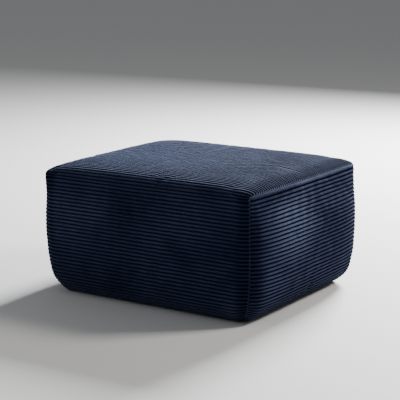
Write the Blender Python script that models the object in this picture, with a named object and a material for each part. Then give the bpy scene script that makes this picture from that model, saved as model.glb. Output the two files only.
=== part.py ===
"""A softly filled, box-shaped ottoman in wide-wale corduroy, with its origin under the middle.

The front looks along -Y. One long ribbed panel wraps the front, top and back; a padded panel closes each end.
"""
import math
from collections import namedtuple
from functools import partial

import bmesh
import bpy
from mathutils import Vector

# The box that the cover is cut to, in metres
LENGTH = 0.758
DEPTH = 0.666
HEIGHT = 0.3951

# How the filling swells the box
CROWN = 0.0249
CROWN_POWER = 7.1
BARREL = 0.0035
END_SWELL = 0.031
END_SWELL_POWER = 4.9
SWELL_FADE_HEIGHT = 0.119
SWELL_AT_TOP = 0.22

# Radii of the rounded edges: along X and Y at the floor, at half height and at the top
ROUND_X = (0.080, 0.039, 0.015)
ROUND_Y = (0.078, 0.043, 0.024)
ROUND_Z_FLOOR = 0.068
ROUND_Z_TOP = 0.017
TOP_BLEND = 0.27

# Ribs of the corduroy
WRAP_RIB = 0.0116
END_RIB = 0.0120
RIB_DEPTH = 0.003
RIB_WANDER = 0.0007
STRAIGHT_NEAR_FLOOR = 0.05
STRAIGHT_NEAR_TOP = 0.02
SHARP_EDGE = math.radians(40)

# Where the panels end under the floor edge, and the pads' inner faces
TURN_UNDER = 0.040
PAD_SEAT = 0.058
PAD_INSET = 0.026
SEAM_GAP = 0.0005
PAD_EASE = 0.0015

# Distances of the mesh columns from the nearest seam
WRAP_COLUMNS = (0.0, 0.010, 0.028, 0.055, 0.130)
END_COLUMNS = (0.0, 0.008, 0.022, 0.045, 0.085, 0.150, 0.240)

HALF_LENGTH = LENGTH / 2
HALF_DEPTH = DEPTH / 2

WRAP_BLUE = (0.030, 0.040, 0.075)
END_BLUE = (0.035, 0.047, 0.085)

# A row of points along one crest or valley: its place on the cut box (y or x, and z), and what it is
Row = namedtuple("Row", "out z valley inner")


def clear_scene():
    for item in list(bpy.data.objects):
        bpy.data.objects.remove(item, do_unlink=True)


def clamp(value, low, high):
    return max(low, min(high, value))


def smooth_step(share):
    share = clamp(share, 0.0, 1.0)
    return share * share * (3 - 2 * share)


def radius_at(share, radii):
    """Radius of a rounded edge at a share of the height, from its floor, middle and top values."""
    floor, middle, top = radii
    side = floor + (middle - floor) * min(share / 0.5, 1.0)
    return side + (top - side) * smooth_step((share - 1 + TOP_BLEND) / TOP_BLEND)


def soft_point(x, y, z, sink=0.0):
    """Move a point of the cut box's surface to the filled body, then sink it into the surface.

    An edge of the box comes to lie in the middle of the rounding, where a seam runs on the real cover.
    """
    share = z / HEIGHT
    radii = (
        radius_at(share, ROUND_X),
        radius_at(share, ROUND_Y),
        ROUND_Z_TOP if share > 0.5 else ROUND_Z_FLOOR,
    )
    core = (
        clamp(x, radii[0] - HALF_LENGTH, HALF_LENGTH - radii[0]),
        clamp(y, radii[1] - HALF_DEPTH, HALF_DEPTH - radii[1]),
        clamp(z, ROUND_Z_FLOOR, HEIGHT - ROUND_Z_TOP),
    )
    turn = Vector(
        math.tan(math.pi / 4 * clamp((value - inner) / radius, -1.0, 1.0))
        for value, inner, radius in zip((x, y, z), core, radii)
    ).normalized()
    outward = Vector(part / radius for part, radius in zip(turn, radii)).normalized()
    point = Vector(inner + radius * part for inner, radius, part in zip(core, radii, turn))

    across = abs(point.x) / HALF_LENGTH
    along = abs(point.y) / HALF_DEPTH
    up = clamp(point.z / HEIGHT, 0.0, 1.0)
    barrel = BARREL * 4 * up * (1 - up)
    held_in = (1 - SWELL_AT_TOP) * smooth_step((up - 0.6) / 0.4)
    end_swell = END_SWELL * (1 - along**END_SWELL_POWER) * min(point.z / SWELL_FADE_HEIGHT, 1 - held_in)
    swell = Vector((
        math.copysign(min(across, 1.0) ** 4 * (barrel + end_swell), point.x),
        math.copysign(min(along, 1.0) ** 4 * barrel, point.y),
        up**6 * CROWN * (1 - across**CROWN_POWER) * (1 - along**CROWN_POWER),
    ))
    return point + swell - outward * sink


def walk(corners, run):
    """The point at a distance along a line of straight stretches."""
    for start, end in zip(corners, corners[1:]):
        stretch = math.dist(start, end)
        if run <= stretch or end == corners[-1]:
            return [a + (b - a) * run / stretch for a, b in zip(start, end)]
        run -= stretch


def rib_rows(corners, place, pitch):
    """Rows from valley to crest to valley, evenly spaced over the filled surface.

    corners is a line on the cut box, and place gives the point of the filled surface for one of its points.
    """
    total = sum(math.dist(start, end) for start, end in zip(corners, corners[1:]))
    steps = 400
    runs = [total * step / steps for step in range(steps + 1)]
    points = [place(*walk(corners, run)) for run in runs]
    reached = [0.0]
    for before, after in zip(points, points[1:]):
        reached.append(reached[-1] + (after - before).length)
    halves = 2 * round(reached[-1] / pitch)
    rows = []
    step = 0
    for half in range(halves + 1):
        target = reached[-1] * half / halves
        while step < steps - 1 and reached[step + 1] < target:
            step += 1
        share = (target - reached[step]) / (reached[step + 1] - reached[step])
        run = clamp(runs[step] + share * (runs[step + 1] - runs[step]), 0.0, total)
        rows.append(Row(*walk(corners, run), valley=half % 2 == 0, inner=0 < half < halves))
    return rows


def columns(half_width, distances):
    """Positions from one seam to the other, close together near the seams, as shares of half the width."""
    side = [1 - distance / half_width for distance in distances]
    return [-share for share in side] + [0.0] + side[::-1]


def wander(row, wave):
    """How far a rib strays from its straight line, which is nothing at seams and round the floor edge."""
    straight = row.z < STRAIGHT_NEAR_FLOOR or HEIGHT - STRAIGHT_NEAR_TOP < row.z < HEIGHT
    return 0.0 if straight or not row.inner else RIB_WANDER * math.sin(wave)


def wrap_point(share, row, index):
    """A point of the wrap at a share of its half width, on one of its rows."""
    at_seam = abs(share) == 1.0
    stray = 0.0 if at_seam else wander(row, 7.0 * share + 2.3 * index)
    turned_under = HALF_DEPTH - abs(row.out) if row.z == 0.0 else 0.0
    x = share * (HALF_LENGTH - turned_under)
    sink = RIB_DEPTH if row.valley or at_seam else 0.0
    if row.z == HEIGHT:
        return soft_point(x, row.out + stray, HEIGHT, sink)
    return soft_point(x, row.out, row.z + stray, sink)


def underside_point(share, row, index):
    """A point of the plain underside, which starts at the sunk rim where the ribs end."""
    at_rim = row.valley or abs(share) == 1.0
    return soft_point(share * (HALF_LENGTH - TURN_UNDER), row.out, 0.0, RIB_DEPTH if at_rim else 0.0)


def end_point(side, share, row, index):
    """A point of an end panel at a share of its half width, on one of its rows; side is 1 or -1."""
    at_seam = abs(share) == 1.0 or not row.inner
    stray = 0.0 if at_seam else wander(row, 6.0 * share + 2.9 * index + side)
    turned_under = HALF_LENGTH - row.out
    sink = RIB_DEPTH if row.valley or at_seam else 0.0
    point = soft_point(side * row.out, share * (HALF_DEPTH - turned_under), row.z + stray, sink)
    point.x += side * SEAM_GAP
    return point


def add_patch(bm, shares, rows, place):
    """A grid whose columns are the shares and whose rows are the rows, each point placed by a function."""
    made = bmesh.ops.create_grid(bm, x_segments=len(shares) - 1, y_segments=len(rows) - 1, size=0.5)
    for number, vert in enumerate(made["verts"]):
        index, column = divmod(number, len(shares))
        vert.co = place(shares[column], rows[index], index)


def close_end(bm, side, gap, inset):
    """Turn an open seam edge inwards to the flat seat between the wrap and an end panel, and fill it."""
    edges = [edge for edge in bm.edges if edge.is_boundary and edge.verts[0].co.x * side > 0]
    made = bmesh.ops.extrude_edge_only(bm, edges=edges)["geom"]
    band = [item for item in made if isinstance(item, bmesh.types.BMFace)]
    middle = HEIGHT / 2
    for vert in [item for item in made if isinstance(item, bmesh.types.BMVert)]:
        vert.co.x = side * (HALF_LENGTH - PAD_SEAT + gap)
        vert.co.y *= 1 - inset / HALF_DEPTH
        vert.co.z = middle + (vert.co.z - middle) * (1 - inset / middle)
    rim = [item for item in made if isinstance(item, bmesh.types.BMEdge) and item.is_boundary]
    seat = bmesh.ops.edgeloop_fill(bm, edges=rim)["faces"]
    bmesh.ops.poke(bm, faces=seat)
    bmesh.ops.triangulate(bm, faces=band, quad_method="SHORT_EDGE")


def cloth(name, colour):
    made = bpy.data.materials.new(name)
    made.use_nodes = True
    shader = made.node_tree.nodes["Principled BSDF"]
    shader.inputs["Base Color"].default_value = (*colour, 1.0)
    shader.inputs["Roughness"].default_value = 0.9
    shader.inputs["Metallic"].default_value = 0.0
    return made


def finish_object(bm, name, colour):
    """Point the faces outward and put the mesh in an object of its own."""
    bmesh.ops.recalc_face_normals(bm, faces=bm.faces)
    mesh = bpy.data.meshes.new(name)
    bm.to_mesh(mesh)
    bm.free()
    mesh.shade_smooth()
    mesh.set_sharp_from_angle(angle=SHARP_EDGE)
    mesh.materials.append(cloth(f"{name}_cloth", colour))
    bpy.context.collection.objects.link(bpy.data.objects.new(name, mesh))


def build_wrap():
    """The filled body, ribbed over its front, top and back, with a plain level underside."""
    foot = HALF_DEPTH - TURN_UNDER
    front_line = [(-foot, 0.0), (-HALF_DEPTH, 0.0), (-HALF_DEPTH, HEIGHT)]
    top_line = [(-HALF_DEPTH, HEIGHT), (HALF_DEPTH, HEIGHT)]
    front = rib_rows(front_line, lambda y, z: soft_point(0.0, y, z), WRAP_RIB)
    top = rib_rows(top_line, lambda y, z: soft_point(0.0, y, z), WRAP_RIB)
    back = [row._replace(out=-row.out) for row in reversed(front)]
    across = columns(HALF_LENGTH, WRAP_COLUMNS)
    underside = [
        Row(share * foot, 0.0, valley=abs(share) == 1.0, inner=False)
        for share in columns(HALF_DEPTH, END_COLUMNS)
    ]
    bm = bmesh.new()
    add_patch(bm, across, front + top[1:-1] + back, wrap_point)
    add_patch(bm, across, underside, underside_point)
    bmesh.ops.remove_doubles(bm, verts=bm.verts, dist=1e-6)
    for side in (1, -1):
        close_end(bm, side, 0.0, PAD_INSET)
    finish_object(bm, "wrap", WRAP_BLUE)


def build_end_panel(name, side):
    """A padded panel with ribs from front to back, whose edge meets the wrap at a plain seam."""
    side_line = [(HALF_LENGTH - TURN_UNDER, 0.0), (HALF_LENGTH, 0.0), (HALF_LENGTH, HEIGHT)]
    rows = rib_rows(side_line, lambda x, z: soft_point(x, 0.0, z), END_RIB)
    bm = bmesh.new()
    add_patch(bm, columns(HALF_DEPTH, END_COLUMNS), rows, partial(end_point, side))
    close_end(bm, side, SEAM_GAP, PAD_INSET + PAD_EASE)
    finish_object(bm, name, END_BLUE)


def main():
    clear_scene()
    build_wrap()
    build_end_panel("side_panel_right", 1)
    build_end_panel("side_panel_left", -1)


main()
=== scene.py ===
# %% [markdown]
# # A corduroy ottoman
#
# The object is a box-shaped footstool, stuffed until its faces swell and its edges go round, in a dark blue
# corduroy with very wide ribs. One long panel wraps the front, the top and the back. A padded panel closes
# each end, and a plain seam joins them.
#
# The lesson builds it as a maker would: the cloth is cut as flat panels, folded round a box, drawn over the
# filling, and a short cloth simulation lets the filling push it tight. The fixed solids come from the frame
# first.

# %% Load the frame
import math

import bpy
import numpy as np
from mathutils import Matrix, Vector


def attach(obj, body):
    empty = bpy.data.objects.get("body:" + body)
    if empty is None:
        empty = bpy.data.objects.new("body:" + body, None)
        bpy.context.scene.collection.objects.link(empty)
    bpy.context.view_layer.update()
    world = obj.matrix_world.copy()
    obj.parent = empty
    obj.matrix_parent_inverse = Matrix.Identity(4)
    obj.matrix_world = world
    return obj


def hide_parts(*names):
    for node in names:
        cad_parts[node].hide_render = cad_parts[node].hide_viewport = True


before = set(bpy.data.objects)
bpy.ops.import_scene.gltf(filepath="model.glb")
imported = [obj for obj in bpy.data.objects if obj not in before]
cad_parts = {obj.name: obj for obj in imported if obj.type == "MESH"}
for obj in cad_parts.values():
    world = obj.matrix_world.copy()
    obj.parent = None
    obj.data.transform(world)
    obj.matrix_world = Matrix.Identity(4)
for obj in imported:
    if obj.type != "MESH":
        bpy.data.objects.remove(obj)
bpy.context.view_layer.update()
print("frame:", ", ".join(sorted(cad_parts)))

# %% [markdown]
# ## Camera
#
# The photographer stood well back with a long lens and looked a little down onto the front and the right
# end. A long lens keeps the far edges nearly parallel to the near ones. The camera is turned about the
# vertical, tipped down, and then moved back from the point it aims at, which is how a tripod head is set.

# %% Camera
LENS_MM = 122.9
SENSOR_MM = 36.0
CAMERA_TURN = math.radians(33.15)
CAMERA_TILT = math.radians(11.83)
CAMERA_DISTANCE = 4.368
AIM = Vector((-0.0144, 0.0106, 0.2775))

bpy.ops.object.camera_add(rotation=(math.pi / 2 - CAMERA_TILT, 0.0, CAMERA_TURN))
camera = bpy.context.object
camera.name = "camera"
camera.data.lens = LENS_MM
camera.data.sensor_width = SENSOR_MM
backward = camera.rotation_euler.to_matrix() @ Vector((0.0, 0.0, 1.0))
camera.location = AIM + backward * CAMERA_DISTANCE
bpy.context.scene.camera = camera
print("camera at", [round(c, 3) for c in camera.location])

# %% [markdown]
# ## The form of the filled cover
#
# The panels are cut for a plain box. Stuffing turns that box into a soft body: the faces swell, the top
# crowns, and each cut edge slides into the middle of a round corner. A modifier can't tell a tight top edge
# from a full floor edge, so a small function does it for every point at once. The long top edges, where the
# wrap bends over without a seam, are rounder in the middle than at the corners. At the floor the ottoman's
# own weight has settled it a few millimetres, a little more at the corners, so that its rounded lower edge
# rests flat all round. The function also gives the direction straight out of the surface, which the ribs
# need.

# %% Fill out the cut box
LENGTH = 0.758
DEPTH = 0.666
HEIGHT = 0.3951
CROWN = 0.0249
CROWN_POWER = 7.1
CROWN_RISE_POWER = 6
BARREL = 0.0035
SIDE_POWER = 4
END_SWELL = 0.031
END_SWELL_POWER = 4.9
SWELL_FADE_HEIGHT = 0.119
SWELL_AT_TOP = 0.22
HELD_IN_FROM = 0.6
ROUND_X = (0.082, 0.039, 0.015)
ROUND_Y = (0.080, 0.043, 0.024)
ROUND_Z_FLOOR = 0.068
ROUND_Z_TOP = 0.017
TOP_BLEND = 0.27
EDGE_FULLNESS = 0.011
FULLNESS_POWER = 4
SETTLED = 0.005
CORNER_SETTLED = 0.0025
CORNER_TURN = 0.17
SETTLED_UP_TO = 0.10
HALF_LENGTH = LENGTH / 2
HALF_DEPTH = DEPTH / 2


def smooth_step(share):
    share = np.clip(share, 0.0, 1.0)
    return share * share * (3 - 2 * share)


def towards_top(share):
    """0 up the sides, rising smoothly to 1 at the top; share is a share of the height."""
    return smooth_step((share - 1 + TOP_BLEND) / TOP_BLEND)


def radius_at(share, radii):
    """Radius of a rounded edge at a share of the height, from its floor, middle and top values."""
    floor, middle, top = radii
    side = floor + (middle - floor) * np.minimum(share / 0.5, 1.0)
    return side + (top - side) * towards_top(share)


def fill_out(box_points):
    """Move points of the cut box to the filled body; returns them and the directions out of the surface."""
    x, y, z = box_points.T
    share = z / HEIGHT
    fuller = EDGE_FULLNESS * (1 - (x / HALF_LENGTH) ** FULLNESS_POWER)
    radii = np.column_stack([
        radius_at(share, ROUND_X),
        radius_at(share, ROUND_Y) + fuller * towards_top(share),
        np.where(share > 0.5, ROUND_Z_TOP + fuller, ROUND_Z_FLOOR),
    ])
    core = np.column_stack([
        np.clip(x, radii[:, 0] - HALF_LENGTH, HALF_LENGTH - radii[:, 0]),
        np.clip(y, radii[:, 1] - HALF_DEPTH, HALF_DEPTH - radii[:, 1]),
        np.clip(z, ROUND_Z_FLOOR, HEIGHT - ROUND_Z_TOP - fuller),
    ])
    turn = np.tan(math.pi / 4 * np.clip((box_points - core) / radii, -1.0, 1.0))
    at_corner = smooth_step(np.abs(turn[:, 0] * turn[:, 1]) / CORNER_TURN)
    turn /= np.linalg.norm(turn, axis=1)[:, None]
    outward = turn / radii
    outward /= np.linalg.norm(outward, axis=1)[:, None]
    filled = core + radii * turn
    across = np.abs(filled[:, 0]) / HALF_LENGTH
    along = np.abs(filled[:, 1]) / HALF_DEPTH
    up = np.clip(filled[:, 2] / HEIGHT, 0.0, 1.0)
    barrel = BARREL * 4 * up * (1 - up)
    held_in = (1 - SWELL_AT_TOP) * smooth_step((up - HELD_IN_FROM) / (1 - HELD_IN_FROM))
    rising = np.minimum(filled[:, 2] / SWELL_FADE_HEIGHT, 1 - held_in)
    end_swell = END_SWELL * (1 - along**END_SWELL_POWER) * rising
    crown = up**CROWN_RISE_POWER * CROWN * (1 - across**CROWN_POWER) * (1 - along**CROWN_POWER)
    filled[:, 0] += np.sign(filled[:, 0]) * np.minimum(across, 1.0) ** SIDE_POWER * (barrel + end_swell)
    filled[:, 1] += np.sign(filled[:, 1]) * np.minimum(along, 1.0) ** SIDE_POWER * barrel
    near_floor = np.clip(1 - filled[:, 2] / SETTLED_UP_TO, 0.0, 1.0) ** 2
    settled = (SETTLED + CORNER_SETTLED * at_corner) * near_floor
    filled[:, 2] = np.maximum(filled[:, 2] + crown - settled, 0.0)
    return filled, outward


middle_of_top, _ = fill_out(np.array([[0.0, 0.0, HEIGHT]]))
print("the top's middle stands", round(middle_of_top[0, 2] * 1000), "mm over the floor")

# %% [markdown]
# ## Small helpers for editing
#
# Every operator works on what is selected, so each step first says what that is. These helpers read and
# write all points of a mesh at once, pick edges by their place, and keep one number for each point.

# %% Editing helpers
def only(piece):
    """Make one object the selected and active one."""
    if bpy.context.mode != "OBJECT":
        bpy.ops.object.mode_set(mode="OBJECT")
    bpy.ops.object.select_all(action="DESELECT")
    piece.select_set(True)
    bpy.context.view_layer.objects.active = piece


def points_of(piece):
    points = np.empty(len(piece.data.vertices) * 3)
    piece.data.vertices.foreach_get("co", points)
    return points.reshape(-1, 3)


def place_points(piece, points):
    piece.data.vertices.foreach_set("co", np.ascontiguousarray(points, dtype=np.float32).ravel())
    piece.data.update()


def pick_edges(piece, wanted):
    """Select the edges whose two ends are both wanted; wanted holds one flag for each point."""
    only(piece)
    mesh = piece.data
    ends = np.empty(len(mesh.edges) * 2, dtype=np.int32)
    mesh.edges.foreach_get("vertices", ends)
    mesh.vertices.foreach_set("select", np.zeros(len(mesh.vertices), dtype=bool))
    mesh.polygons.foreach_set("select", np.zeros(len(mesh.polygons), dtype=bool))
    mesh.edges.foreach_set("select", wanted[ends.reshape(-1, 2)].all(axis=1))
    bpy.ops.object.mode_set(mode="EDIT")
    bpy.ops.mesh.select_mode(type="EDGE")


def open_edge_points(piece):
    """One flag for each point: whether it lies on an open edge of the mesh."""
    only(piece)
    bpy.ops.object.mode_set(mode="EDIT")
    bpy.ops.mesh.select_mode(type="VERT")
    bpy.ops.mesh.select_all(action="DESELECT")
    bpy.ops.mesh.select_non_manifold(extend=False)
    bpy.ops.object.mode_set(mode="OBJECT")
    flags = np.empty(len(piece.data.vertices), dtype=bool)
    piece.data.vertices.foreach_get("select", flags)
    return flags


def store(piece, name, values):
    layer = piece.data.attributes.get(name) or piece.data.attributes.new(name, "FLOAT", "POINT")
    layer.data.foreach_set("value", np.ascontiguousarray(values, dtype=np.float32))


def stored(piece, name):
    values = np.empty(len(piece.data.vertices))
    piece.data.attributes[name].data.foreach_get("value", values)
    return values


# %% [markdown]
# ## The ribs
#
# Corduroy is woven with loops that are cut and brushed into ribs. From the side a rib is round, and it
# nearly touches the next one, so the valley between them is narrow and dark. Each rib gets a handful of rows
# of points, closest together in the valley, where the profile turns most. The rows are spaced evenly over
# the filled surface, not over the box, because the cloth doesn't stretch.

# %% Lay out the ribs
WRAP_RIB = 0.0116
END_RIB = 0.0120
RIB_DEPTH = 0.0042
RIB_STEPS = (0.0, 0.08, 0.24, 0.5, 0.76, 0.92)
RIB_ROUNDNESS = 2.8
MEASURING_POINTS = 2001
COLUMN_SPACING = 0.0088
COLUMNS_NEAR_SEAM = (0.0, 0.0010, 0.0022, 0.0038, 0.006, 0.010, 0.016, 0.024)


def rib_lines(corners, place, pitch, last_rib=1.0):
    """Rows along a line of the cut box: their places on it, their rib counts and how much cloth lies before.

    place turns places on the cut box into points of the filled body. last_rib is the width of the last rib,
    counted in ribs.
    """
    corners = np.array(corners)
    stretches = np.linalg.norm(np.diff(corners, axis=0), axis=1)
    stops = np.concatenate([[0.0], np.cumsum(stretches)])
    runs = np.linspace(0.0, stops[-1], MEASURING_POINTS)
    places = np.column_stack([np.interp(runs, stops, corners[:, axis]) for axis in (0, 1)])
    steps = np.linalg.norm(np.diff(place(places), axis=0), axis=1)
    cloth = np.concatenate([[0.0], np.cumsum(steps)])
    count = round(cloth[-1] / pitch - last_rib) + 1
    ribs = np.array([rib + step for rib in range(count) for step in RIB_STEPS] + [count], dtype=float)
    widths = ribs + np.maximum(ribs - (count - 1), 0.0) * (last_rib - 1)
    used = widths / widths[-1] * cloth[-1]
    run = np.interp(used, cloth, runs)
    return np.column_stack([np.interp(run, stops, corners[:, axis]) for axis in (0, 1)]), ribs, used


def rib_height(ribs):
    """Height of the pile over the valleys at a rib count, from 0 to 1."""
    return 1 - np.abs(2 * (ribs % 1.0) - 1) ** RIB_ROUNDNESS


def seam_columns(half_width):
    """Column positions from one seam to the other as shares of the half width, finest at the seams."""
    near = np.array(COLUMNS_NEAR_SEAM)
    steps = math.ceil((half_width - near[-1]) / COLUMN_SPACING)
    side = np.concatenate([half_width - near, np.linspace(half_width - near[-1], 0.0, steps + 1)[1:]])
    return np.concatenate([-side, side[-2::-1]]) / half_width


# %% [markdown]
# ## Cutting and folding the panels
#
# A panel starts as a flat grid, one column for each step along the ribs and one row for each step across
# them. It is then folded round the box in straight lines. The cloth's own measures are kept in a UV map, in
# metres, so that the pile can later follow the ribs round every edge. Two numbers stay with every point: how
# far the pile stands up, and how far the nearest seam is.
#
# No rib of a real cloth is quite like its neighbour, so each one strays a little and is brushed a little
# higher or lower along its way.

# %% Cut a ribbed panel
PANEL_TURN_UNDER = 0.040
RIB_UNEVENNESS = 0.08
RIB_WANDER = 0.0006
WANDER_POWER = 8
STRAIGHT_AT_FLOOR = 0.05
STRAIGHT_AT_TOP = 0.02


def sway(share, ribs, phase):
    """A slow, even wave along each rib that differs from rib to rib, between -1 and 1."""
    return np.sin(7.0 * share + 0.9 * ribs + phase) * 0.6 + np.sin(13.0 * share - 1.7 * ribs) * 0.4


def free_to_stray(z):
    """Flags for the points of an upright face that are clear of its floor edge and its top edge."""
    return (z > STRAIGHT_AT_FLOOR) & (z < HEIGHT - STRAIGHT_AT_TOP)


def cut_panel(name, shares, ribs, half_width, pitch, fold):
    """A flat grid of rows and columns, folded onto the cut box by a function of shares and row numbers."""
    bpy.ops.mesh.primitive_grid_add(x_subdivisions=len(shares) - 1, y_subdivisions=len(ribs) - 1, size=1.0)
    panel = bpy.context.object
    panel.name = panel.data.name = name
    row, column = np.divmod(np.arange(len(shares) * len(ribs)), len(shares))
    share = shares[column]
    folded, from_seam = fold(share, row)
    place_points(panel, folded)
    from_seam = np.maximum(from_seam, 0.0)
    rib_number = np.floor(ribs[row])
    brushed = 1 - RIB_UNEVENNESS * (0.5 + 0.5 * sway(2.3 * share, 2.1 * rib_number, 1.3))
    store(panel, "pile", rib_height(ribs[row]) * brushed - 1.0)
    store(panel, "from_seam", from_seam)
    store(panel, "ribbed", np.ones(len(row)))
    corners = np.empty(len(panel.data.loops), dtype=np.int32)
    panel.data.loops.foreach_get("vertex_index", corners)
    uv = np.column_stack([share * half_width, ribs[row] * pitch])[corners]
    panel.data.uv_layers.active.name = "cloth"
    panel.data.uv_layers.active.data.foreach_set("uv", uv.ravel().astype(np.float32))
    return panel


# %% Fold the wrap
def lift(places):
    """Filled points over the middle of the ottoman, for places given as y and z."""
    return fill_out(np.column_stack([np.zeros(len(places)), places]))[0]


foot_depth = HALF_DEPTH - PANEL_TURN_UNDER
front_places, front_ribs, _ = rib_lines(
    [(-foot_depth, 0.0), (-HALF_DEPTH, 0.0), (-HALF_DEPTH, HEIGHT)], lift, WRAP_RIB
)
top_places, top_ribs, _ = rib_lines([(-HALF_DEPTH, HEIGHT), (HALF_DEPTH, HEIGHT)], lift, WRAP_RIB)
front_count, top_count = front_ribs[-1], top_ribs[-1]
wrap_places = np.vstack([front_places, top_places[1:-1], front_places[::-1] * (-1, 1)])
wrap_ribs = np.concatenate([
    front_ribs,
    front_count + top_ribs[1:-1],
    front_count + top_count + (front_count - front_ribs[::-1]),
])
wrap_shares = seam_columns(HALF_LENGTH)


def fold_wrap(share, row):
    y, z = wrap_places[row].T
    turned_under = np.where(z == 0.0, HALF_DEPTH - np.abs(y), 0.0)
    stray = RIB_WANDER * (1 - share**WANDER_POWER) * sway(share, wrap_ribs[row], 0.0)
    on_top = (z == HEIGHT) & (np.abs(y) < HALF_DEPTH)
    x = share * (HALF_LENGTH - turned_under)
    folded = np.column_stack([x, y + stray * on_top, z + stray * free_to_stray(z)])
    return folded, HALF_LENGTH * (1 - np.abs(share))


wrap = cut_panel("wrap_cover", wrap_shares, wrap_ribs, HALF_LENGTH, WRAP_RIB, fold_wrap)
print("wrap:", round(wrap_ribs[-1]), "ribs,", len(wrap.data.polygons), "faces")

# %% [markdown]
# The wrap's two short edges meet nothing yet. The underside joins them: a plain, level patch, bridged
# from one edge to the other and cut into rows. It carries no ribs. Its rim starts as deep as the valleys
# of the ribs around it, and it comes down to the floor two fingers' breadth further in.

# %% Bridge the underside
UNDERSIDE_ROWS = 22
UNDERSIDE_STEP = 0.030
CLEAR_OF_SEAMS = 0.05

panel_points = len(wrap.data.vertices)
end_row = np.arange(panel_points) // len(wrap_shares)
pick_edges(wrap, (end_row == 0) | (end_row == len(wrap_places) - 1))
bpy.ops.mesh.bridge_edge_loops(number_cuts=UNDERSIDE_ROWS, interpolation="LINEAR")
bpy.ops.object.mode_set(mode="OBJECT")
on_underside = np.arange(len(wrap.data.vertices)) >= panel_points
from_edge = np.min((HALF_LENGTH, HALF_DEPTH) - np.abs(points_of(wrap)[:, :2]), axis=1)
level = smooth_step((from_edge - PANEL_TURN_UNDER) / UNDERSIDE_STEP) - 1.0
store(wrap, "pile", np.where(on_underside, level, stored(wrap, "pile")))
store(wrap, "ribbed", np.where(on_underside, 0.0, 1.0))
store(wrap, "from_seam", np.where(on_underside, CLEAR_OF_SEAMS, stored(wrap, "from_seam")))
print("wrap with underside:", len(wrap.data.polygons), "faces")

# %% [markdown]
# An end panel was cut through the middle of a rib at its top, so that the last rib is a wide one there, and
# the needle pressed it flat along the seam.

# %% Fold the end panels
END_SEAM_RIB = 1.45
PRESSED_FLAT = 0.7


def swell_end(places):
    """Filled points over the middle of the right end, for places given as x and z."""
    return fill_out(np.column_stack([places[:, 0], np.zeros(len(places)), places[:, 1]]))[0]


foot_length = HALF_LENGTH - PANEL_TURN_UNDER
end_places, end_ribs, end_cloth_used = rib_lines(
    [(foot_length, 0.0), (HALF_LENGTH, 0.0), (HALF_LENGTH, HEIGHT)], swell_end, END_RIB, END_SEAM_RIB
)
end_ribs -= np.maximum(end_ribs - end_ribs[-1] + 0.5, 0.0) * PRESSED_FLAT
end_shares = seam_columns(HALF_DEPTH)


def fold_end(side):
    def fold(share, row):
        x, z = end_places[row].T
        stray = RIB_WANDER * (1 - share**WANDER_POWER) * sway(share, end_ribs[row], 1.5 + side)
        y = share * (HALF_DEPTH - (HALF_LENGTH - x))
        cloth_left = end_cloth_used[-1] - end_cloth_used[row]
        from_seam = np.minimum(HALF_DEPTH * (1 - np.abs(share)), cloth_left)
        return np.column_stack([side * x, y, z + stray * free_to_stray(z)]), from_seam
    return fold


ends = []
for name, side in (("end_cover_right", 1), ("end_cover_left", -1)):
    end = cut_panel(name, end_shares, end_ribs, HALF_DEPTH, END_RIB, fold_end(side))
    ends.append((end, side))
covers = [wrap] + [end for end, _ in ends]
print("each end:", round(end_ribs[-1]), "ribs,", len(ends[0][0].data.polygons), "faces")

# %% [markdown]
# ## The filling
#
# Foam and wadding push the cloth out wherever a seam doesn't hold it. The filling is a cube, cut into small
# squares in edit mode and filled out like the covers. A vertex group holds the seams and the foot firmly,
# and the rest a little. That rest starts about two millimetres inside the finished shape, so that it has
# room to swell. The stitching pulls the cloth in beside every seam, and deepest at the corners. Along the
# right end's top seam the stuffing rolls up over the stitching before the cloth drops into it, and along the
# left end's it lies a little low.

# %% Make the filling
FILLING_CUTS = 43
START_INSIDE = 0.0028
HELD_NEAR_SEAM = 0.012
HELD_NEAR_FLOOR = 0.010
HELD_BY_FOAM = 0.28
SEAM_PULL = 0.0016
PULL_REACH = 0.024
CORNER_REACH = 0.030
ROLL_RIGHT = 0.0040
ROLL_LEFT = -0.0010
ROLL_REACH = 0.016
ROLL_ENDS_OVER = 0.05
ON_TOP_WITHIN = 0.0001


def fading(distance, reach):
    """1 at a line or a corner, falling smoothly to 0 a little beyond the reach."""
    return np.exp(-((distance / reach) ** 2))


def draw_over(piece, box_points):
    """Place a piece just inside its filled shape.

    Returns the directions out of the surface, and how firmly each point is held: wholly at a seam or on the
    floor, and elsewhere only by the foam.
    """
    filled, outward = fill_out(box_points)
    x, y, z = np.abs(box_points.T)
    from_upright = np.hypot(HALF_LENGTH - x, HALF_DEPTH - y)
    from_top_seam = np.hypot(HALF_LENGTH - x, HEIGHT - z)
    seam = np.minimum(from_upright, from_top_seam)
    at_floor = fading(filled[:, 2], HELD_NEAR_FLOOR)
    held = np.maximum(np.maximum(fading(seam, HELD_NEAR_SEAM), at_floor), HELD_BY_FOAM)
    corner = fading(np.hypot(from_upright, from_top_seam), CORNER_REACH)
    pulled = SEAM_PULL * (fading(seam, PULL_REACH) + corner) * (1 - at_floor)
    along_seam = smooth_step((HALF_DEPTH - y) / ROLL_ENDS_OVER) * (z > HEIGHT - ON_TOP_WITHIN)
    roll_share = (HALF_LENGTH - x) / ROLL_REACH
    roll = np.where(box_points[:, 0] > 0, ROLL_RIGHT, ROLL_LEFT)
    rolled = roll * along_seam * roll_share * np.exp(1 - roll_share)
    inside = START_INSIDE * (1 - held) + pulled - rolled
    place_points(piece, filled - outward * inside[:, None])
    return outward, held


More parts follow.
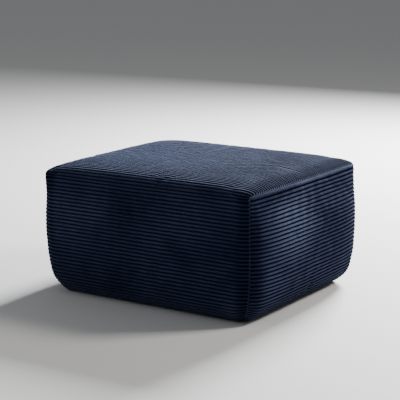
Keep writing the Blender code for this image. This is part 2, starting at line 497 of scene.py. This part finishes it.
bpy.ops.mesh.primitive_cube_add(size=1.0)
filling = bpy.context.object
filling.name = "filling"
bpy.ops.object.mode_set(mode="EDIT")
bpy.ops.mesh.subdivide(number_cuts=FILLING_CUTS)
bpy.ops.object.mode_set(mode="OBJECT")
cut_box = points_of(filling) * (LENGTH, DEPTH, HEIGHT) + (0.0, 0.0, HEIGHT / 2)
_, held = draw_over(filling, cut_box)
outward_of = {cover.name: draw_over(cover, points_of(cover))[0] for cover in covers}
print("filling:", len(filling.data.polygons), "faces,", int((held > 0.5).sum()), "points held")

# %% [markdown]
# ## Stuffing
#
# Blender's cloth gets a pressure from inside and no gravity, and runs for twenty frames. The fine covers
# would take minutes, so only the coarser filling is simulated, and a Surface Deform modifier makes each
# cover follow it: the modifier is bound before the simulation and applied after it. How far a point may move
# is capped, because the pressure alone would go on blowing the ottoman up.

# %% Stuff the covers
PRESSURE = 4.0
LAST_FRAME = 20
MOST_MOVED = 0.006


def bind_to_filling(cover):
    only(cover)
    follow = cover.modifiers.new("follow_filling", "SURFACE_DEFORM")
    follow.target = filling
    follow.falloff = 4.0
    bpy.ops.object.surfacedeform_bind(modifier=follow.name)
    return follow


def inflate(piece, held):
    """Simulate a closed mesh as cloth and keep the capped result; returns each move before the cap."""
    only(piece)
    group = piece.vertex_groups.new(name="held")
    for index, weight in enumerate(held):
        group.add([index], float(weight), "REPLACE")
    stuffing = piece.modifiers.new("stuffing", "CLOTH")
    stuffing.settings.quality = 6
    stuffing.settings.mass = 0.4
    stuffing.settings.tension_stiffness = 20.0
    stuffing.settings.compression_stiffness = 8.0
    stuffing.settings.shear_stiffness = 6.0
    stuffing.settings.bending_stiffness = 0.6
    stuffing.settings.shrink_min = -0.005
    stuffing.settings.use_pressure = True
    stuffing.settings.uniform_pressure_force = PRESSURE
    stuffing.settings.vertex_group_mass = group.name
    stuffing.settings.effector_weights.gravity = 0.0
    stuffing.point_cache.frame_end = LAST_FRAME
    before = points_of(piece)
    for number in range(1, LAST_FRAME + 1):
        bpy.context.scene.frame_set(number)
    bpy.ops.object.modifier_apply(modifier=stuffing.name)
    move = points_of(piece) - before
    length = np.maximum(np.linalg.norm(move, axis=1), 1e-9)
    move *= np.minimum(1.0, MOST_MOVED / length)[:, None]
    after = before + move
    after[:, 2] = np.maximum(after[:, 2], 0.0)
    place_points(piece, after)
    bpy.context.scene.frame_set(1)
    return length


follows = [bind_to_filling(cover) for cover in covers]
print("bound:", [follow.is_bound for follow in follows])
moved = inflate(filling, held)
print("moved, mm:", [round(float(np.percentile(moved, p)) * 1000, 1) for p in (5, 25, 50, 75, 95, 100)])
for cover, follow in zip(covers, follows):
    only(cover)
    bpy.ops.object.modifier_apply(modifier=follow.name)
bpy.data.objects.remove(filling)

# %% [markdown]
# ## Raising the pile
#
# The ribs come after the simulation, because they ride on the cloth and don't carry the load. Each point
# sinks from the crest's height into the surface by what its pile lacks. At a seam the needle pulls the two
# cloths down into each other and they round off. Along the top seams the wrap keeps its height almost up to
# the seam and then turns in sharply, which leaves a fine lit lip with a dark line beside it.

# %% Raise the pile
WRAP_TOP_LIP = 0.0009
OTHER_LIP = 0.0024
LIP_CHANGES_FROM = 0.34
LIP_CHANGES_OVER = 0.05


def raise_pile(cover):
    points = points_of(cover)
    at_top = smooth_step((points[:, 2] - LIP_CHANGES_FROM) / LIP_CHANGES_OVER) * (cover is wrap)
    lip = OTHER_LIP + (WRAP_TOP_LIP - OTHER_LIP) * at_top
    flat = np.exp(-stored(cover, "from_seam") / lip)
    depth = stored(cover, "pile") * (1 - flat) - flat
    points += outward_of[cover.name] * (depth * RIB_DEPTH)[:, None]
    points[:, 2] = np.maximum(points[:, 2], 0.0)
    place_points(cover, points)


for cover in covers:
    raise_pile(cover)
    print(cover.name, "measures, mm:", [round(side * 1000) for side in cover.dimensions])

# %% [markdown]
# ## Closing the pads
#
# A padded piece is a closed body. Where the wrap and an end pad meet inside, both turn in from the seam to
# a flat seat, half a millimetre apart, so that neither ever cuts through the other.

# %% Close the seats
SEAT_DEPTH = 0.058
SEAT_INSET = 0.026
SEAM_GAP = 0.0005
PAD_EASE = 0.0015


def close_seat(piece, side, gap, inset):
    """Extrude the open seam edge on one side inwards to a flat seat, and fill it with a fan of faces."""
    pick_edges(piece, open_edge_points(piece) & (points_of(piece)[:, 0] * side > 0))
    bpy.ops.mesh.extrude_edges_move()
    bpy.ops.object.mode_set(mode="OBJECT")
    moved = np.empty(len(piece.data.vertices), dtype=bool)
    piece.data.vertices.foreach_get("select", moved)
    points = points_of(piece)
    points[moved, 0] = side * (HALF_LENGTH - SEAT_DEPTH + gap)
    points[moved, 1] *= 1 - inset / HALF_DEPTH
    points[moved, 2] = HEIGHT / 2 + (points[moved, 2] - HEIGHT / 2) * (1 - inset / (HEIGHT / 2))
    place_points(piece, points)
    bpy.ops.object.mode_set(mode="EDIT")
    bpy.ops.mesh.edge_face_add()
    bpy.ops.mesh.poke()
    bpy.ops.mesh.select_all(action="SELECT")
    bpy.ops.mesh.normals_make_consistent(inside=False)
    bpy.ops.object.mode_set(mode="OBJECT")


for side in (1, -1):
    close_seat(wrap, side, 0.0, SEAT_INSET)
for end, side in ends:
    place_points(end, points_of(end) + (side * SEAM_GAP, 0.0, 0.0))
    close_seat(end, side, SEAM_GAP, SEAT_INSET + PAD_EASE)
for cover in covers:
    only(cover)
    bpy.ops.object.shade_smooth()
    print(cover.name, "open edges:", int(open_edge_points(cover).sum()))

# %% [markdown]
# ## Writing shaders as sums
#
# A material is a graph of nodes. The small class below wraps one socket, so that `a * b + c` adds the Math
# nodes for it. Any other node comes from one method, which takes the node's type, its settings and what goes
# into its sockets.

# %% A wire through the nodes
class Wire:
    """An output socket in a material's node tree; arithmetic on it adds Math nodes."""

    def __init__(self, tree, socket=None):
        self.tree = tree
        self.socket = socket

    def node(self, kind, settings=(), sockets=(), output=0):
        """Add a node: its settings first, then values or links for its sockets, by name or number."""
        made = self.tree.nodes.new(kind)
        for name, value in dict(settings).items():
            setattr(made, name, value)
        for name, value in dict(sockets).items():
            if isinstance(value, Wire):
                self.tree.links.new(value.socket, made.inputs[name])
            else:
                made.inputs[name].default_value = value
        return Wire(self.tree, made.outputs[output])

    def into(self, target):
        """Link this wire to a socket that is already there."""
        self.tree.links.new(self.socket, target)

    def math(self, operation, *others):
        """This value worked on by a Math node, with the other values after it."""
        return self.node("ShaderNodeMath", {"operation": operation}, enumerate((self, *others)))

    def limited(self):
        return self.node("ShaderNodeClamp", (), {0: self})

    def __add__(self, other):
        return self.math("ADD", other)

    def __sub__(self, other):
        return self.math("SUBTRACT", other)

    def __rsub__(self, other):
        return self * -1.0 + other

    def __mul__(self, other):
        return self.math("MULTIPLY", other)

    def __truediv__(self, other):
        return self.math("DIVIDE", other)

    def __pow__(self, other):
        return self.math("POWER", other)

    __radd__ = __add__
    __rmul__ = __mul__


def stretched(place, scales):
    """The same place with each direction scaled on its own."""
    return place.node("ShaderNodeVectorMath", {"operation": "MULTIPLY"}, {0: place, 1: scales})


def noise(place, scale, detail, roughness):
    sockets = {"Vector": place, "Scale": scale, "Detail": detail, "Roughness": roughness}
    return place.node("ShaderNodeTexNoise", (), sockets)


def mixed(share, first, second):
    """A colour between two colours."""
    settings = {"data_type": "RGBA", "clamp_factor": True}
    return share.node("ShaderNodeMix", settings, {0: share, 6: first, 7: second}, output=2)


# %% [markdown]
# ## Corduroy
#
# Three things make corduroy look as it does. The ground between the ribs is dark and lies deep, so a second,
# nearly black shader is mixed in along the valleys. That is partly the dark weave and partly painted shade,
# and on the wrap it is painted a little lighter than on the ends. The pile stands like velvet: where hands
# and clothes have brushed it, it leans another way and looks lighter or darker. A few broad patches do this
# here, and the nap frays their edges. Most of them are also painted light and painted shade: a lighter band
# high on the right end near the front, darker parts of that end further back, lower down, by the front
# corner and under its top seam, and a lighter part of the top. And the fibre tips glow a little at a
# glancing angle, which is what the shader's sheen is for.
#
# The fine pattern follows the cloth's own UV map. Along a rib the pile is streaky, and across it the tufts
# are short, so the noise is stretched differently each way. Beside a seam shade is painted in: the pile is
# darker there, and the dark valleys are wider and deeper. In the seam itself the folded pile shows its paler
# side, and a painted highlight lies along it, brightest high up, where it is also rubbed.

# %% Corduroy
# Valley colours: the dark weave with painted shade; the wrap's are painted lighter than the ends'.
WRAP_GROUND_AND_SHADE = (0.0050, 0.0076, 0.0180, 1.0)
DEEP_GROUND_AND_SHADE = (0.0018, 0.0027, 0.0075, 1.0)
DARK_PILE = (0.0085, 0.0118, 0.0350, 1.0)
LIGHT_PILE = (0.0480, 0.0610, 0.1230, 1.0)
# Pale folded pile of the seams with a painted highlight on it.
PALE_FOLD_AND_HIGHLIGHT = (0.1250, 0.1480, 0.2250, 1.0)
BASE_CLOTH = (0.0100, 0.0130, 0.0240, 1.0)
# Patches of brushed pile: middle, reach, strength. Those on the right end and the one on the top are also
# painted light and painted shade.
BRUSHED_AND_PAINTED_LIGHT = (
    ((0.41, -0.13, 0.28), (0.16, 0.17, 0.16), 1.00),
    ((-0.27, -0.34, 0.27), (0.20, 0.16, 0.12), 0.35),
    ((-0.10, -0.04, 0.42), (0.42, 0.42, 0.12), 0.55),
    ((0.41, 0.24, 0.16), (0.16, 0.28, 0.30), -0.60),
    ((0.41, -0.08, 0.04), (0.16, 0.30, 0.15), -0.50),
    ((0.38, -0.32, 0.20), (0.12, 0.08, 0.26), -0.35),
    ((0.41, -0.18, 0.39), (0.10, 0.21, 0.06), -0.70),
)
SHEEN_TINT = (0.52, 0.62, 0.86, 1.0)
FRAYING = 0.5
STREAKS_PER_METRE = (34.0, 120.0, 1.0)
TUFTS_PER_METRE = (520.0, 900.0, 1.0)
RIB_STRAY = 0.12
SHADE_REACH = 0.055
VALLEY_SHAPE = 1.9
VALLEY_WIDTH = 1.65
SHADE_WIDER_AT_SEAM = 2.8
FOLD_WIDTH = 0.0045
HIGHLIT_AND_RUBBED_FROM = 0.365
HIGHLIT_AND_RUBBED_OVER = 0.025
LEAST_RUBBED_AND_HIGHLIT = 0.08


def nap_and_painted_light_patch(place, nap, middle, reach):
    """1 in the middle of a patch, falling to 0 at its reach; the nap frays its edge. The patches are brushed
    pile, most of them also painted light and shade.
    """
    offset = place.node("ShaderNodeVectorMath", {"operation": "SUBTRACT"}, {0: place, 1: middle})
    share = stretched(offset, tuple(1 / side for side in reach))
    distance = share.node("ShaderNodeVectorMath", {"operation": "LENGTH"}, {0: share}, output=1)
    near = (1.0 + FRAYING / 2 - distance - nap * FRAYING).limited()
    return near * near * (3.0 - near * 2.0)


def corduroy(name, pitch, sheen, ground_and_shade_colour, seam_shade):
    made = bpy.data.materials.new(name)
    made.use_nodes = True
    shader = made.node_tree.nodes["Principled BSDF"]
    start = Wire(made.node_tree)

    cloth = start.node("ShaderNodeUVMap", {"uv_map": "cloth"})
    body = start.node("ShaderNodeTexCoord", output=3)
    height = body.node("ShaderNodeSeparateXYZ", (), {0: body}, output=2)
    from_seam = start.node("ShaderNodeAttribute", {"attribute_name": "from_seam"}, output=2)
    ribbed = start.node("ShaderNodeAttribute", {"attribute_name": "ribbed"}, output=2)

    nap = noise(body, scale=7.0, detail=3.0, roughness=0.55)
    # The patches sum to brushed pile with painted light and painted shade in it.
    brushed = sum(nap_and_painted_light_patch(body, nap, middle, reach) * strength for middle, reach, strength in BRUSHED_AND_PAINTED_LIGHT)
    streaks = noise(stretched(cloth, STREAKS_PER_METRE), scale=1.0, detail=3.0, roughness=0.6)
    tufts = noise(stretched(cloth, TUFTS_PER_METRE), scale=1.0, detail=2.0, roughness=0.6)

    across = cloth.node("ShaderNodeSeparateXYZ", (), {0: cloth}, output=1)
    phase = (across / pitch + (streaks - 0.5) * RIB_STRAY).math("FRACT")
    to_valley = (phase * 2.0 - 1.0).math("ABSOLUTE")
    # Painted shade beside the seams: it darkens the pile, widens the valleys and deepens their colour.
    painted_seam_shade = (1.0 - from_seam / SHADE_REACH).limited() * seam_shade
    crest = (1.04 - to_valley ** VALLEY_SHAPE * (painted_seam_shade * SHADE_WIDER_AT_SEAM + VALLEY_WIDTH)).limited()
    fold = (1.0 - from_seam / FOLD_WIDTH).limited()

    # The tone takes in the patches' painted light and shade, less the painted shade beside the seams.
    tone = (nap * 1.3 + streaks * 0.4 + tufts * 0.4 - 0.75 + brushed - painted_seam_shade).limited()
    pile = mixed(tone, DARK_PILE, LIGHT_PILE)
    # Along the seams the paler folded pile carries a painted highlight, strongest high up.
    rubbed_and_highlit = ((height - HIGHLIT_AND_RUBBED_FROM) / HIGHLIT_AND_RUBBED_OVER).limited() * (1.0 - LEAST_RUBBED_AND_HIGHLIT) + LEAST_RUBBED_AND_HIGHLIT
    folded = mixed(fold * (0.45 + streaks * 0.7) * rubbed_and_highlit, pile, PALE_FOLD_AND_HIGHLIGHT)
    colour = mixed(ribbed, BASE_CLOTH, folded)
    fibres = tufts * 0.7 + streaks * 0.5 + crest * 0.4
    bump = start.node("ShaderNodeBump", (), {"Strength": 0.7, "Distance": 0.0011, "Height": fibres})
    colour.into(shader.inputs["Base Color"])
    (0.98 - tone * 0.22).into(shader.inputs["Roughness"])
    bump.into(shader.inputs["Normal"])
    shader.inputs["Specular IOR Level"].default_value = 0.1
    shader.inputs["Sheen Weight"].default_value = sheen
    shader.inputs["Sheen Roughness"].default_value = 0.38
    shader.inputs["Sheen Tint"].default_value = SHEEN_TINT

    # The valleys take a near-black shader: the dark weave with painted shade, painted deeper beside the
    # seams.
    valley_colour_and_shade = mixed(painted_seam_shade * 1.6, ground_and_shade_colour, DEEP_GROUND_AND_SHADE)
    settings = {"Base Color": valley_colour_and_shade, "Roughness": 1.0, "Specular IOR Level": 0.0}
    valley_shader_with_shade = start.node("ShaderNodeBsdfPrincipled", (), settings)
    shown = made.node_tree.nodes["Material Output"].inputs["Surface"]
    standing = (crest + fold * 0.6 + (1.0 - ribbed)).limited()
    sockets = {0: standing, 1: valley_shader_with_shade, 2: Wire(made.node_tree, shader.outputs[0])}
    start.node("ShaderNodeMixShader", (), sockets).into(shown)
    print(name, "has", len(made.node_tree.nodes), "nodes")
    return made


wrap_cloth = corduroy("wrap_corduroy", WRAP_RIB, sheen=0.26, ground_and_shade_colour=WRAP_GROUND_AND_SHADE, seam_shade=0.6)
end_cloth = corduroy("end_corduroy", END_RIB, sheen=0.12, ground_and_shade_colour=DEEP_GROUND_AND_SHADE, seam_shade=0.1)
for cover in covers:
    cover.data.materials.clear()
    cover.data.materials.append(wrap_cloth if cover is wrap else end_cloth)

# %% [markdown]
# ## Floor and light
#
# A pale floor, large soft lights and a weak even light from all round. The strongest light stands behind the
# ottoman and skims over the top, where the pile shows its sheen. One at the back right lights the end panel,
# so that each rib there has a lit and a shaded side. The front stays dark and gets only a weak fill.

# %% Floor and light
LIT_POINT = Vector((0.0, 0.0, 0.2))

bpy.ops.mesh.primitive_plane_add(size=30.0)
floor = bpy.context.object
floor.name = "floor"
floor_paint = bpy.data.materials.new("pale_floor")
floor_paint.use_nodes = True
floor_shader = floor_paint.node_tree.nodes["Principled BSDF"]
floor_shader.inputs["Base Color"].default_value = (0.64, 0.63, 0.61, 1.0)
floor_shader.inputs["Roughness"].default_value = 0.75
floor.data.materials.append(floor_paint)


def soft_light(name, place, size, power, colour):
    """A large square light that faces the middle of the ottoman."""
    bpy.ops.object.light_add(type="AREA", location=place)
    light = bpy.context.object
    light.name = name
    light.data.size = size
    light.data.energy = power
    light.data.color = colour
    towards = LIT_POINT - Vector(place)
    light.rotation_euler = towards.to_track_quat("-Z", "Y").to_euler()


soft_light("window_right", (2.4, 1.7, 2.6), size=0.8, power=135.0, colour=(1.0, 0.98, 0.95))
soft_light("window_back", (-0.2, 3.5, 2.3), size=1.2, power=770.0, colour=(0.95, 0.98, 1.0))
soft_light("fill_front", (-1.9, -2.0, 1.3), size=1.5, power=13.0, colour=(0.95, 0.97, 1.0))
world = bpy.context.scene.world or bpy.data.worlds.new("studio")
bpy.context.scene.world = world
world.use_nodes = True
world.node_tree.nodes["Background"].inputs["Color"].default_value = (0.86, 0.89, 0.93, 1.0)
world.node_tree.nodes["Background"].inputs["Strength"].default_value = 0.28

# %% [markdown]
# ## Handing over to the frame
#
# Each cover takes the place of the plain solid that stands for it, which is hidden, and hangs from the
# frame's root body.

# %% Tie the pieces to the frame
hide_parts("wrap")
for end, side in ends:
    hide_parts("side_panel_right" if side > 0 else "side_panel_left")
for cover in covers:
    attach(cover, "root")

bpy.context.view_layer.update()
